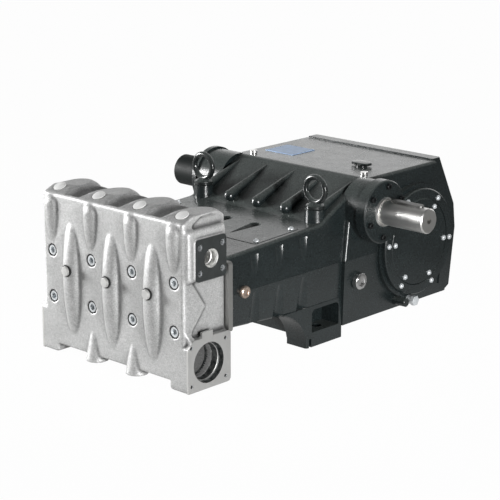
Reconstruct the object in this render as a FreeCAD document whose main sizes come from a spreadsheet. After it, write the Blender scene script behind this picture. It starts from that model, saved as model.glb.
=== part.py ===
"""Triplex plunger pump with a built-in reduction gear, as a parametric document.

Frame: millimetres, +X along the drive shaft towards its free end, +Y from the
pumping head to the rear cover, +Z up. The origin lies on the floor, midway
between the two front foot bolts.
"""
import FreeCAD, Part
import math
import os
import re

import Sketcher

Vector = FreeCAD.Vector
Rotation = FreeCAD.Rotation

DIMENSIONS = {
    # Lines shared by the whole pump
    "column_pitch": 100,
    "axis_height": 144.5,
    "head_front": 366,
    "head_depth": 101,
    "plate_depth": 10,
    # Head casting
    "head_half_width": 172,
    "head_bottom": 16,
    "head_edge_height": 289,
    "head_arc_radius": 121,
    "head_arc_setback": 46,
    "head_arc_height": 176,
    "head_edge_round": 6,
    "hump_half_width": 27,
    "hump_path_radius": 56,
    "hump_round_radius": 38.6,
    "hump_setback": 48,
    "hump_centre_height": 212.4,
    "spot_radius": 12,
    "spot_setback": 22,
    "spot_lean": 25,
    "spot_height": 295.5,
    "lip_width": 5,
    "lip_height": 288,
    "hump_front_run": 44,
    "hump_front_rise": 20.5,
    "valley_radius": 25,
    "valley_floor": 282.5,
    "cheek_depth": 4,
    "cheek_strip": 16,
    "cheek_neck_rise": 16,
    "cheek_neck_run": 25.6,
    "cheek_crest_run": 43.2,
    "cheek_crest_drop": 2,
    "cheek_level_run": 67.2,
    "cheek_rear_drop": 4,
    "cheek_apex_setback": 52.2,
    "cheek_apex_height": 140.5,
    "cheek_top": 296,
    "cheek_upper": 268,
    "cheek_bend": 194,
    "cheek_low": 85,
    "suction_guard_front": 0,
    "suction_guard_long": 102,
    "suction_guard_low": 2,
    "suction_guard_high": 90,
    "discharge_guard_front": 5,
    "discharge_guard_long": 90,
    "discharge_guard_low": 188,
    "discharge_guard_high": 87,
    "port_half_width": 182,
    "bolt_row_gap": 83,
    "bolt_recess_radius": 11,
    "bolt_recess_depth": 13,
    "bolt_hole_radius": 6.75,
    "suction_height": 47,
    "suction_setback": 48,
    "suction_bore_radius": 35,
    "suction_bore_depth": 22,
    "suction_channel_radius": 31,
    "suction_flange_long": 100,
    "suction_flange_high": 89,
    "suction_block_length": 42,
    "suction_corner": 13,
    "suction_round": 7,
    "suction_edge_round": 5,
    "suction_tab_front": 33,
    "suction_tab_rear": 58,
    "suction_tab_rise": 10,
    "shoulder_rise": 13,
    "suction_hole_radius": 3.4,
    "suction_hole_depth": 16,
    "suction_hole_long": 79.5,
    "suction_hole_high": 66.4,
    "discharge_height": 224,
    "discharge_setback": 55.5,
    "discharge_bore_radius": 16,
    "discharge_bore_depth": 18,
    "discharge_channel_radius": 12.5,
    "discharge_plate_long": 71,
    "discharge_plate_high": 71,
    "discharge_plate_stand": 3,
    "discharge_plate_round": 8,
    "discharge_boss_front": 5,
    "discharge_boss_rear": 95,
    "discharge_boss_low": 188,
    "discharge_boss_high": 275,
    "discharge_boss_round": 7,
    "discharge_hole_radius": 5.1,
    "discharge_hole_depth": 22,
    "discharge_hole_long": 52,
    "discharge_hole_high": 43.5,
    "tongue_radius": 18,
    "tongue_stand": 9,
    "tongue_foot": 203,
    "tongue_top": 270,
    "boss_radius": 20,
    "boss_tip_radius": 10,
    "boss_bottom": 6.5,
    "boss_top": 61,
    "boss_setback": 10,
    "bulge_half_length": 100,
    "bulge_height": 143.5,
    "bulge_stand": 13,
    "bulge_radius": 22,
    "plug_radius": 8.5,
    "plug_stand": 4,
    "plug_rise": 16,
    "plug_bevel": 1,
    # Plate between the head and the crankcase
    "plate_half_width": 177,
    "plate_half_height": 61,
    "plate_corner": 6,
    # Crankcase
    "case_front_half_width": 169,
    "case_rear_half_width": 176,
    "case_draft": 0.095,
    "case_bottom": 21,
    "case_top": 281.7,
    "deck_front_rise": 64.9,
    "deck_rear_rise": 75.8,
    "deck_rear": 15.5,
    "belly_front_drop": 60.5,
    "belly_rear_drop": 74,
    "front_wall": 53,
    "fold": 110,
    "case_split": 130,
    "shoulder_low": 44,
    "shoulder_middle": 35,
    "shoulder_top": 68,
    "rear_top": 312,
    "rear_knee": 349,
    "knee_height": 190,
    "rib_pitch": 69,
    "rib_radius": 10.5,
    "rib_tip_radius": 2,
    "rib_nose_setback": -6,
    "rib_nose_rise": 88.5,
    "rib_end_setback": 100,
    "rib_end_rise": 130,
    "kink_round": 30,
    "fold_round": 18,
    "case_edge_round": 6,
    "flute_radius": 20,
    "flute_lean": 10.9,
    "flute_run_out": 21,
    "flute_first": 65.5,
    "flute_pitch": 62,
    "flute_margin": 8,
    "seam_width": 1.2,
    "seam_depth": 1,
    "recess_depth": 4,
    "recess_front": 292,
    "recess_rear": 327,
    "recess_low": 40,
    "recess_high": 63,
    # Rear cover
    "cover_thickness": 24,
    "cover_lip": 2.8,
    "cover_half_width": 168,
    "cover_knee_round": 14,
    "cover_edge_round": 4,
    # Pinion shaft and its housing
    "shaft_setback": 105,
    "shaft_height": 229,
    "shaft_radius": 22.5,
    "shaft_free_length": 98,
    "shaft_root": 150,
    "centre_hole_radius": 5.1,
    "centre_hole_depth": 28,
    "shaft_play": 0.05,
    "shaft_bevel": 2,
    "cover_bevel": 2,
    "seal_groove": 1.5,
    "housing_radius": 54,
    "housing_length": 188,
    "housing_left_length": 211,
    "housing_start": 150,
    "flange_radius": 57.5,
    "flange_thickness": 21,
    "seal_radius": 27,
    "seal_thickness": 3,
    "key_width": 14,
    "key_height": 9,
    "key_length": 70,
    "key_inset": 14,
    "key_rise": 3.5,
    "cap_radius": 29.6,
    "cap_length": 79,
    "left_flange_thickness": 12,
    # Crank covers
    "crank_setback": 236,
    "crank_boss_radius": 108,
    "crank_boss_half_length": 178,
    "crank_ring_radius": 100.5,
    "crank_ring_inner_radius": 82,
    "crank_cover_thickness": 9.5,
    # Feet
    "foot_outer_edge": 23.5,
    "foot_inner_edge": 23,
    "foot_rear": 42,
    "foot_top": 76,
    "foot_plate": 27,
    "foot_pocket_front": 39,
    "foot_pocket_rear": 34,
    "foot_pocket_top": 69,
    "foot_pocket_depth": 40,
    "foot_pocket_round": 9,
    "foot_rib_place": 17,
    "foot_rib_width": 5,
    "foot_rib_depth": 10,
    "foot_edge_round": 5,
    "foot_notch_setback": 46,
    "foot_notch_width": 6,
    "foot_notch_height": 16,
    "foot_notch_depth": 9,
    "foot_bolt_spacing": 280,
    "foot_bolt_radius": 9,
    "rear_foot_place": 90,
    "rear_foot_setback": 305,
    "rear_foot_side": 54,
    "rear_foot_bolt_radius": 7,
    "rear_foot_bolt_depth": 30,
    # Inspection cover on the deck
    "hatch_half_width": 150,
    "hatch_front": 171,
    "hatch_rear": 58,
    "hatch_sink": 12,
    "hatch_stand": 0.6,
    "hatch_gap": 1,
    "hatch_corner": 8,
    "drop_front": 150,
    "drop_rear": 86,
    "drop_tip_radius": 0.5,
    "drop_radius": 13,
    "drop_lift": 7,
    # Lifting eyes, after the common M16 ring bolt
    "eye_place": 138,
    "eye_setback": 4,
    "eye_seat": 243,
    "eye_boss_radius": 18,
    "eye_boss_foot_radius": 19.5,
    "eye_boss_length": 34,
    "eye_collar_radius": 17,
    "eye_collar_thickness": 8,
    "eye_collar_bevel": 1.5,
    "eye_neck_radius": 13.5,
    "eye_neck_tip_radius": 9,
    "eye_neck_height": 4.5,
    "eye_ring_radius": 22.5,
    "eye_rod_radius": 5,
    "eye_height": 62,
    # Small fittings
    "filler_across": 88,
    "filler_setback": 184,
    "filler_radius": 15,
    "filler_base_height": 5,
    "filler_grip_radius": 11,
    "filler_height": 14,
    "filler_bevel": 2,
    "filler_lobe_radius": 5.5,
    "filler_lobe_place": 10,
    "top_plug_across": 137,
    "top_plug_setback": 132,
    "top_plug_radius": 7,
    "top_plug_height": 5,
    "nameplate_across": 101,
    "nameplate_setback": 196,
    "nameplate_long": 70,
    "nameplate_deep": 64,
    "nameplate_thickness": 1.2,
    "glass_setback": 74,
    "glass_height": 101.5,
    "glass_radius": 15,
    "glass_seat": 174,
    "glass_length": 9,
    "glass_pane_radius": 9,
    "glass_pane_sink": 3,
    "side_plug_setback": 220.5,
    "side_plug_radius": 10.5,
    "side_plug_length": 5,
    "drain_setback": 215,
    "drain_height": 36.5,
    "drain_radius": 8,
    "drain_seat": 180,
    "seat_margin": 0.5,
    "drain_length": 18,
    "elbow_setback": 193,
    "elbow_radius": 8,
    "elbow_length": 14,
}

doc = FreeCAD.newDocument("PlungerPump")
sizes = doc.addObject("Spreadsheet::Sheet", "Sizes")
nodes = []

ALONG = {
    "X": Rotation(Vector(0, 1, 0), 90),
    "Y": Rotation(Vector(1, 0, 0), -90),
    "Z": Rotation(),
}
FUNCTIONS = ("sqrt", "tan", "cos", "deg")
SIDES = ((-1, "left"), (1, "right"))
SHAFT_END = "(housing_length + flange_thickness + shaft_free_length)"
FOOT_OUTER = "(foot_bolt_spacing / 2 + foot_outer_edge)"
FOOT_WIDTH = "(foot_outer_edge + foot_inner_edge)"


def write_sizes():
    """Write the driving dimensions into the sheet, one named cell each."""
    for row, (alias, value) in enumerate(DIMENSIONS.items(), start=1):
        sizes.set(f"A{row}", alias)
        sizes.set(f"B{row}", str(value))
        sizes.setAlias(f"B{row}", alias)
    doc.recompute()


def cells(text):
    """Turn the sheet's words in a formula into references to their cells."""
    def reference(match):
        word = match.group(0)
        return word if word in FUNCTIONS else f"Sizes.{word}"
    return re.sub(r"[a-z][a-z_0-9]*", reference, str(text))


def bind(thing, **formulas):
    """Bind properties of an object to formulas over the sheet."""
    places = {"x": "Placement.Base.x", "y": "Placement.Base.y", "z": "Placement.Base.z"}
    for name, formula in formulas.items():
        thing.setExpression(places.get(name, name), cells(formula))
    return thing


def box(name, length, width, height, x, y, z):
    """A block with its low corner at x, y, z."""
    block = doc.addObject("Part::Box", name)
    return bind(block, Length=length, Width=width, Height=height, x=x, y=y, z=z)


def cylinder(name, radius, height, x, y, z, along="Z"):
    """A round bar that starts at x, y, z and runs along one axis."""
    bar = doc.addObject("Part::Cylinder", name)
    bar.Placement.Rotation = ALONG[along]
    return bind(bar, Radius=radius, Height=height, x=x, y=y, z=z)


def cone(name, radius1, radius2, height, x, y, z, along="Z"):
    """A tapered round bar that starts at x, y, z with radius1."""
    bar = doc.addObject("Part::Cone", name)
    bar.Placement.Rotation = ALONG[along]
    return bind(bar, Radius1=radius1, Radius2=radius2, Height=height, x=x, y=y, z=z)


def fuse(name, *pieces):
    joined = doc.addObject("Part::MultiFuse", name)
    joined.Shapes = list(pieces)
    return joined


def common(name, *pieces):
    shared = doc.addObject("Part::MultiCommon", name)
    shared.Shapes = list(pieces)
    return shared


def cut(name, base, *tools):
    """Cut one or more tools from a base."""
    left = doc.addObject("Part::Cut", name)
    left.Base = base
    left.Tool = tools[0] if len(tools) == 1 else fuse(f"{name}_tools", *tools)
    return left


def node(thing, label):
    """Name a finished sub-part; the label is its file's name."""
    thing.Label = label
    nodes.append(thing)
    return thing


def plane_of(body, role):
    return next(f for f in body.Origin.OriginFeatures if f.Role == role)


def outline_sketch(body, name, role, corners):
    """A closed outline whose corners are pinned to formulas over the sheet.

    A corner is (across, up); the guess that places it before the solver runs
    is worked out from the same formulas.
    """
    sketch = body.newObject("Sketcher::SketchObject", name)
    sketch.AttachmentSupport = [(plane_of(body, role), "")]
    sketch.MapMode = "FlatFace"
    spots = [Vector(worth(across), worth(up), 0) for across, up in corners]
    count = len(spots)
    for i in range(count):
        sketch.addGeometry(Part.LineSegment(spots[i], spots[(i + 1) % count]), False)
    for i in range(count):
        sketch.addConstraint(Sketcher.Constraint("Coincident", i, 2, (i + 1) % count, 1))
    for i, (across, up) in enumerate(corners):
        for kind, formula, guess, axis in (
            ("DistanceX", across, spots[i].x, -2),
            ("DistanceY", up, spots[i].y, -1),
        ):
            if formula == "0":
                sketch.addConstraint(Sketcher.Constraint("PointOnObject", i, 1, axis))
                continue
            number = sketch.addConstraint(Sketcher.Constraint(kind, -1, 1, i, 1, guess))
            sketch.setExpression(f"Constraints[{number}]", cells(formula))
    return sketch


def worth(formula):
    """The present value of a formula over the sheet."""
    return float(sizes.evalExpression(cells(formula)))


def slab(name, role, corners, length, symmetric=True):
    """A body: one outline padded across its plane."""
    body = doc.addObject("PartDesign::Body", name)
    sketch = outline_sketch(body, f"{name}_outline", role, corners)
    pad = body.newObject("PartDesign::Pad", f"{name}_pad")
    pad.Profile = sketch
    pad.SideType = "Symmetric" if symmetric else "One side"
    bind(pad, Length=length)
    return body


def turned(name, corners, x="0", y="0", z="0", axis="H_Axis"):
    """A turned part: half its section swung round one axis of the sketch.

    The corners are (along X, radius), or (radius, up) for an upright part.
    """
    body = doc.addObject("PartDesign::Body", name)
    sketch = outline_sketch(body, f"{name}_outline", "XZ_Plane", corners)
    swing = body.newObject("PartDesign::Revolution", f"{name}_turn")
    swing.Profile = sketch
    swing.ReferenceAxis = (sketch, [axis])
    swing.Angle = 360
    return bind(body, x=x, y=y, z=z)


def disc(name, start, end, radius, bevel, inner, y, z):
    """A turned disc or ring along X whose outer end has a bevelled rim.

    The outer end is the one at `end`, on either side of the pump.
    """
    inward = "-" if worth(f"{end} - ({start})") > 0 else "+"
    return turned(name, [
        (start, inner),
        (start, radius),
        (f"{end} {inward} {bevel}", radius),
        (end, f"{radius} - {bevel}"),
        (end, inner),
    ], y=y, z=z)


def carried(name, base):
    """A body that carries on from a finished shape."""
    doc.recompute()
    body = doc.addObject("PartDesign::Body", name)
    body.BaseFeature = base
    return body


def block(name, length, width, height, x, y, z):
    """A body with one block in it, whose edges can be dressed.

    The edges are looked for in the block's own frame, from its low corner.
    """
    body = doc.addObject("PartDesign::Body", name)
    core = body.newObject("PartDesign::AdditiveBox", f"{name}_core")
    bind(core, Length=length, Width=width, Height=height)
    return bind(body, x=x, y=y, z=z)


def dress(body, kind, size, wanted):
    """Round (Fillet) or bevel (Chamfer) the wanted edges of a body."""
    doc.recompute()
    last = body.Tip
    edges = [f"Edge{i}" for i, edge in enumerate(last.Shape.Edges, start=1) if wanted(edge)]
    feature = body.newObject(f"PartDesign::{kind}", f"{body.Name}_{kind}_{len(body.Group)}")
    feature.Base = (last, edges)
    feature.setExpression("Radius" if kind == "Fillet" else "Size", cells(size))
    body.Tip = feature
    return body


def runs_along(edge, axis):
    """Whether a straight edge lies along X, Y or Z."""
    ends = edge.Vertexes
    if len(ends) < 2:
        return False
    run = ends[1].Point - ends[0].Point
    across = [abs(getattr(run, other)) for other in "xyz" if other != axis.lower()]
    return max(across) < 0.001


def near(edge, **spot):
    """Whether the middle of an edge has the given coordinates."""
    middle = edge.BoundBox.Center
    return all(abs(getattr(middle, axis) - value) < 0.5 for axis, value in spot.items())


def drafted_section(name, half_width, low, high, front, rear):
    """A prism along Y whose sides lean in above and below the crank axis."""
    half_low = f"{half_width} - case_draft * (axis_height - {low})"
    half_high = f"{half_width} - case_draft * ({high} - axis_height)"
    corners = [
        (f"-({half_low})", low),
        (half_low, low),
        (half_width, "axis_height"),
        (half_high, high),
        (f"-({half_high})", high),
        (f"-{half_width}", "axis_height"),
    ]
    body = slab(name, "XZ_Plane", corners, f"{rear} - ({front})", symmetric=False)
    pad = body.Tip
    pad.Reversed = True
    return bind(body, y=front)


def build_guide():
    """The crosshead guide: a box whose deck kinks up into the slope."""
    front = "-(head_front - head_depth - plate_depth)"
    side = slab("guide_side", "YZ_Plane", [
        (front, "axis_height - belly_front_drop"),
        (front, "axis_height + deck_front_rise"),
        ("-deck_rear", "axis_height + deck_rear_rise"),
        ("fold", "case_top"),
        ("case_split", "case_top"),
        ("case_split", "case_bottom"),
        ("-front_wall", "case_bottom"),
        ("-front_wall", "axis_height - belly_rear_drop"),
    ], "2 * case_rear_half_width")
    kink = worth("-deck_rear")
    fold = worth("fold")
    dress(side, "Fillet", "kink_round", lambda e: runs_along(e, "X") and near(e, y=kink))
    dress(side, "Fillet", "fold_round", lambda e: runs_along(e, "X") and near(e, y=fold))
    section = drafted_section(
        "guide_section", "case_front_half_width", "case_bottom", "case_top",
        "-head_front", "case_split",
    )
    guide = carried("guide_body", common("guide_blank", side, section))
    level = worth("axis_height")

    def upper_side(edge):
        box = edge.BoundBox
        return box.YLength > 1 and box.ZMin > level + 1

    def belly_side(edge):
        box = edge.BoundBox
        return box.YLength > 1 and box.ZMax < level - 1 and box.YMax < worth("-front_wall") + 1

    dress(guide, "Fillet", "case_edge_round", upper_side)
    dress(guide, "Fillet", "case_edge_round", belly_side)
    return guide


def build_tank():
    """The crank housing in two drafted halves that meet on the crank axis."""
    crossing, crossing_rise = shoulder_crossing()
    upper = slab("tank_upper_side", "YZ_Plane", [
        ("shoulder_middle", "axis_height"),
        (crossing, f"axis_height + {crossing_rise}"),
        ("fold", "case_top"),
        ("rear_top", "case_top"),
        ("rear_knee", "knee_height"),
        ("rear_knee", "axis_height"),
    ], "2 * case_rear_half_width")
    fold = worth("fold")
    turn = worth(crossing)
    dress(upper, "Fillet", "fold_round", lambda e: runs_along(e, "X") and near(e, y=fold))
    dress(upper, "Fillet", "case_edge_round", lambda e: runs_along(e, "X") and near(e, y=turn))
    lower = slab("tank_lower_side", "YZ_Plane", [
        ("shoulder_low", "case_bottom"),
        ("shoulder_middle", "axis_height"),
        ("rear_knee", "axis_height"),
        ("rear_knee", "case_bottom"),
    ], "2 * case_rear_half_width")
    section = drafted_section(
        "tank_section", "case_rear_half_width", "case_bottom", "case_top",
        "0", "rear_knee",
    )
    top = carried("tank_upper", common("tank_upper_blank", upper, section))
    bottom = common("tank_lower", lower, section)
    split = worth("rear_top") + 1
    level = worth("axis_height")

    def top_side(edge):
        box = edge.BoundBox
        return box.YLength > 1 and box.YMax < split and box.ZMax > level + 1

    dress(top, "Fillet", "case_edge_round", top_side)
    return [top, bottom]


def shoulder_crossing():
    """Where the shoulder of the crank housing meets the slope of the deck."""
    lean = "((shoulder_top - shoulder_middle) / (case_top - axis_height))"
    climb = "((case_top - axis_height - deck_rear_rise) / (fold + deck_rear))"
    place = (
        f"((shoulder_middle + {lean} * (deck_rear_rise + {climb} * deck_rear))"
        f" / (1 - {lean} * {climb}))"
    )
    return place, f"(deck_rear_rise + {climb} * ({place} + deck_rear))"


def build_crankcase():
    """One casting: crosshead guide, crank housing and pinion housing."""
    pieces = [build_guide(), *build_tank()]
    for word, start, length in (
        ("right", "housing_start", "housing_length - housing_start"),
        ("left", "-housing_left_length", "housing_left_length - housing_start"),
    ):
        pieces.append(cylinder(
            f"pinion_housing_{word}", "housing_radius", length, start,
            "shaft_setback", "shaft_height", "X",
        ))
    for side, word in SIDES:
        pieces.append(cone(
            f"eye_boss_{word}", "eye_boss_foot_radius", "eye_boss_radius", "eye_boss_length",
            f"{side} * eye_place", "-eye_setback", "eye_seat - eye_boss_length",
        ))
    for i in range(-2, 3):
        pieces.extend(slope_rib(i))
    pieces.append(cylinder(
        "crank_boss", "crank_boss_radius", "2 * crank_boss_half_length",
        "-crank_boss_half_length", "crank_setback", "axis_height", "X",
    ))
    for fitting, place, height, seat in (
        ("glass", "glass_setback", "glass_height", "glass_seat"),
        ("drain", "drain_setback", "drain_height", "drain_seat"),
        ("elbow", "elbow_setback", "drain_height", "drain_seat"),
    ):
        pieces.append(cylinder(
            f"{fitting}_boss", f"{fitting}_radius + seat_margin", f"{seat} - housing_start",
            "housing_start", place, height, "X",
        ))
    cast = fuse("case_cast", *pieces)
    bores = [cylinder(
        "shaft_clearance", "shaft_radius + 2 * shaft_play", "housing_length + 1 - shaft_root",
        "shaft_root", "shaft_setback", "shaft_height", "X",
    )]
    for side, word in SIDES:
        bores.append(foot_blank(side, word))
        bores.append(cylinder(
            f"eye_spot_face_{word}", "eye_boss_radius + seat_margin", "eye_height",
            f"{side} * eye_place", "-eye_setback", "eye_seat",
        ))
        bores.append(cylinder(
            f"rear_thread_{word}", "rear_foot_bolt_radius", "rear_foot_bolt_depth",
            f"{side} * rear_foot_place", "rear_foot_setback", "0",
        ))
        bores.append(seam(side, word))
        bores.append(gusset_recess(side, word))
        for i in range(3):
            bores.extend(flutes(side, word, i))
    bores.append(hatch_block("hatch_pocket", "hatch_gap"))
    node(cut("crankcase_solid", cast, *bores), "crankcase")


def slope_rib(place):
    """A rib down the slope: a round nose, thinning to a point at the fold."""
    run = "(rib_end_setback - rib_nose_setback)"
    rise = "(rib_end_rise - rib_nose_rise)"
    spot = (f"{place} * rib_pitch", "rib_nose_setback", "axis_height + rib_nose_rise")
    rib = cone(
        f"slope_rib_{place + 2}", "rib_radius", "rib_tip_radius",
        f"sqrt({run} * {run} + {rise} * {rise})", *spot,
    )
    angle = math.degrees(math.atan2(worth(run), worth(rise)))
    rib.Placement.Rotation = Rotation(Vector(1, 0, 0), -angle)
    nose = doc.addObject("Part::Sphere", f"rib_nose_{place + 2}")
    bind(nose, Radius="rib_radius", x=spot[0], y=spot[1], z=spot[2])
    return rib, nose


def flutes(side, word, number):
    """Two upright flutes in the guide's wall, above and below the parting line."""
    place = f"-(flute_first + {number} * flute_pitch)"
    lean = worth("flute_lean")
    slope = "tan(flute_lean * 1 deg)"
    stretch = "cos(flute_lean * 1 deg)"
    out = (
        f"(case_front_half_width - case_draft * flute_run_out + flute_radius / {stretch})"
    )
    share = "(deck_rear_rise - deck_front_rise) / (head_front - head_depth - plate_depth - deck_rear)"
    top = f"(deck_rear_rise + ({place} + deck_rear) * {share} - flute_margin)"
    upper = cylinder(
        f"upper_flute_{word}_{number}", "flute_radius", f"({top} - flute_run_out) / {stretch}",
        f"{side} * {out}", place, "axis_height + flute_run_out",
    )
    upper.Placement.Rotation = Rotation(Vector(0, 1, 0), -side * lean)
    lower = cylinder(
        f"lower_flute_{word}_{number}", "flute_radius",
        f"(belly_rear_drop + flute_margin - flute_run_out / 2) / {stretch}",
        f"{side} * ({out} - {slope} * (belly_rear_drop + flute_margin - flute_run_out / 2))",
        place, "axis_height - belly_rear_drop - flute_margin",
    )
    lower.Placement.Rotation = Rotation(Vector(0, 1, 0), side * lean)
    return upper, lower


def seam(side, word):
    """The parting line of the guide, a fine groove on the crank axis."""
    return box(
        f"seam_{word}", "2 * seam_depth", "head_front + shoulder_middle", "seam_width",
        f"{side} * case_front_half_width - seam_depth", "-head_front",
        "axis_height - seam_width / 2",
    )


def gusset_recess(side, word):
    """A shallow three-cornered recess low on the crank housing's side."""
    wall = "(case_rear_half_width - case_draft * (axis_height - recess_high) - recess_depth)"
    corners = [
        ("recess_front", "(recess_low + recess_high) / 2"),
        ("recess_rear", "recess_low"),
        ("recess_rear", "recess_high"),
    ]
    recess = slab(f"gusset_recess_{word}", "YZ_Plane", corners, "2 * recess_depth")
    return bind(recess, x=f"{side} * ({wall} + recess_depth)")


def build_head_blank():
    """The head's block: an arched top, all outer edges rounded."""
    lower = box(
        "head_block_low", "2 * head_half_width", "head_depth", "head_arc_height - head_bottom",
        "-head_half_width", "-head_front", "head_bottom",
    )
    upper = box(
        "head_block_high", "2 * head_half_width", "head_depth", "head_arc_radius",
        "-head_half_width", "-head_front", "head_arc_height",
    )
    arch = cylinder(
        "head_arch", "head_arc_radius", "2 * head_half_width",
        "-head_half_width", "-head_front + head_arc_setback", "head_arc_height", "X",
    )
    whole = fuse("head_block", lower, common("head_block_arched", upper, arch))
    whole.Refine = True
    block = carried("head_blank", whole)
    front = worth("-head_front")
    rear = worth("-head_front + head_depth")

    def outer(edge):
        return edge.BoundBox.YMax < rear - 0.5 or edge.BoundBox.YLength > 1

    dress(block, "Fillet", "head_edge_round", lambda e: outer(e) and abs(e.BoundBox.YMin - front) < 1)
    return block


def build_head():
    """The pumping head casting with its two port blocks a side."""
    pieces = [build_head_blank()]
    for i in range(4):
        across = f"({i} - 1.5) * column_pitch"
        pieces.append(hump(i, across))
        pieces.extend(tongue(i, across))
    for i in (1, 2):
        pieces.append(cone(
            f"valve_boss_{i}", "boss_radius", "boss_tip_radius", "boss_top - boss_bottom",
            f"({i} - 1.5) * column_pitch", "-head_front + boss_setback", "boss_bottom",
        ))
    for i in range(3):
        pieces.append(bulge(i, f"({i} - 1) * column_pitch"))
    for side, word in SIDES:
        pieces.extend(port_blocks(side, word))
    cast = fuse("head_cast", *pieces)
    holes = []
    for port in ("suction", "discharge"):
        holes.append(cylinder(
            f"{port}_channel", f"{port}_channel_radius", "2 * port_half_width",
            "-port_half_width", f"-head_front + {port}_setback", f"{port}_height", "X",
        ))
        for side, word in SIDES:
            holes.append(cylinder(
                f"{port}_bore_{word}", f"{port}_bore_radius", f"{port}_bore_depth",
                f"{side} * (port_half_width - {port}_bore_depth / 2) - {port}_bore_depth / 2",
                f"-head_front + {port}_setback", f"{port}_height", "X",
            ))
            for k in range(4):
                holes.append(flange_hole(port, side, word, k))
    for i in range(4):
        across = f"({i} - 1.5) * column_pitch"
        for row in (-1, 1):
            holes.append(cylinder(
                f"bolt_recess_{i}_{row + 1}", "bolt_recess_radius", "bolt_recess_depth + 1",
                across, "-head_front - 1", f"axis_height + {row} * bolt_row_gap / 2", "Y",
            ))
        spot = cylinder(
            f"spot_face_{i}", "spot_radius", "head_arc_radius",
            across, "-head_front + spot_setback", "spot_height",
        )
        spot.Placement.Rotation = Rotation(Vector(1, 0, 0), worth("spot_lean"))
        holes.append(spot)
    for i in range(3):
        holes.append(cylinder(
            f"valley_{i}", "valley_radius", "head_depth",
            f"({i} - 1) * column_pitch", "-head_front + lip_width",
            "valley_floor + valley_radius", "Y",
        ))
    for side, word in SIDES:
        holes.append(cheek_pocket(side, word))
    node(cut("head_solid", cast, *holes), "manifold_head")


def hump(number, across):
    """One hump on top of the head: an arched round bar over a bolt column."""
    ring = doc.addObject("Part::Torus", f"hump_ring_{number}")
    ring.Placement.Rotation = ALONG["X"]
    bind(
        ring, Radius1="hump_path_radius", Radius2="hump_round_radius",
        x=across, y="-head_front + hump_setback", z="hump_centre_height",
    )
    limit = slab(f"hump_limit_{number}", "YZ_Plane", [
        ("-head_front + lip_width", "head_arc_height"),
        ("-head_front + lip_width", "lip_height"),
        ("-head_front + lip_width + hump_front_run", "lip_height + hump_front_rise"),
        ("-head_front + head_depth", "lip_height + hump_front_rise"),
        ("-head_front + head_depth", "head_arc_height"),
    ], "2 * hump_half_width")
    bind(limit, x=across)
    edge = box(
        f"hump_edge_{number}", "2 * head_half_width", "head_depth", "head_arc_radius",
        "-head_half_width", "-head_front", "head_arc_height",
    )
    return common(f"hump_{number}", ring, limit, edge)


def tongue(number, across):
    """A half-round ridge under a hump, running out to a point below."""
    drop = "(tongue_top - tongue_foot)"
    reach = f"({drop} * {drop} + tongue_stand * tongue_stand) / (2 * tongue_stand)"
    ring = doc.addObject("Part::Torus", f"tongue_ring_{number}")
    ring.Placement.Rotation = ALONG["X"]
    bind(
        ring, Radius1=f"{reach} - tongue_radius", Radius2="tongue_radius",
        x=across, y=f"-head_front - tongue_stand + {reach}", z="tongue_top",
    )
    limit = box(
        f"tongue_limit_{number}", "2 * tongue_radius", "2 * tongue_radius", drop,
        f"{across} - tongue_radius", "-head_front - tongue_stand", "tongue_foot",
    )
    top = doc.addObject("Part::Sphere", f"tongue_end_{number}")
    bind(
        top, Radius="tongue_radius", x=across,
        y="-head_front - tongue_stand + tongue_radius", z="tongue_top",
    )
    return common(f"tongue_{number}", ring, limit), top


def bulge(number, across):
    """A long pointed swelling on the front face between two bolt columns."""
    reach = "(bulge_half_length * bulge_half_length + bulge_stand * bulge_stand) / (2 * bulge_stand)"
    ring = doc.addObject("Part::Torus", f"bulge_ring_{number}")
    ring.Placement.Rotation = ALONG["X"]
    bind(
        ring, Radius1=f"{reach} - bulge_radius", Radius2="bulge_radius",
        x=across, y=f"-head_front - bulge_stand + {reach}", z="bulge_height",
    )
    limit = box(
        f"bulge_limit_{number}", "2 * bulge_radius", "bulge_stand + 10", "2 * bulge_half_length",
        f"{across} - bulge_radius", "-head_front - bulge_stand",
        "bulge_height - bulge_half_length",
    )
    return common(f"bulge_{number}", ring, limit)


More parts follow.
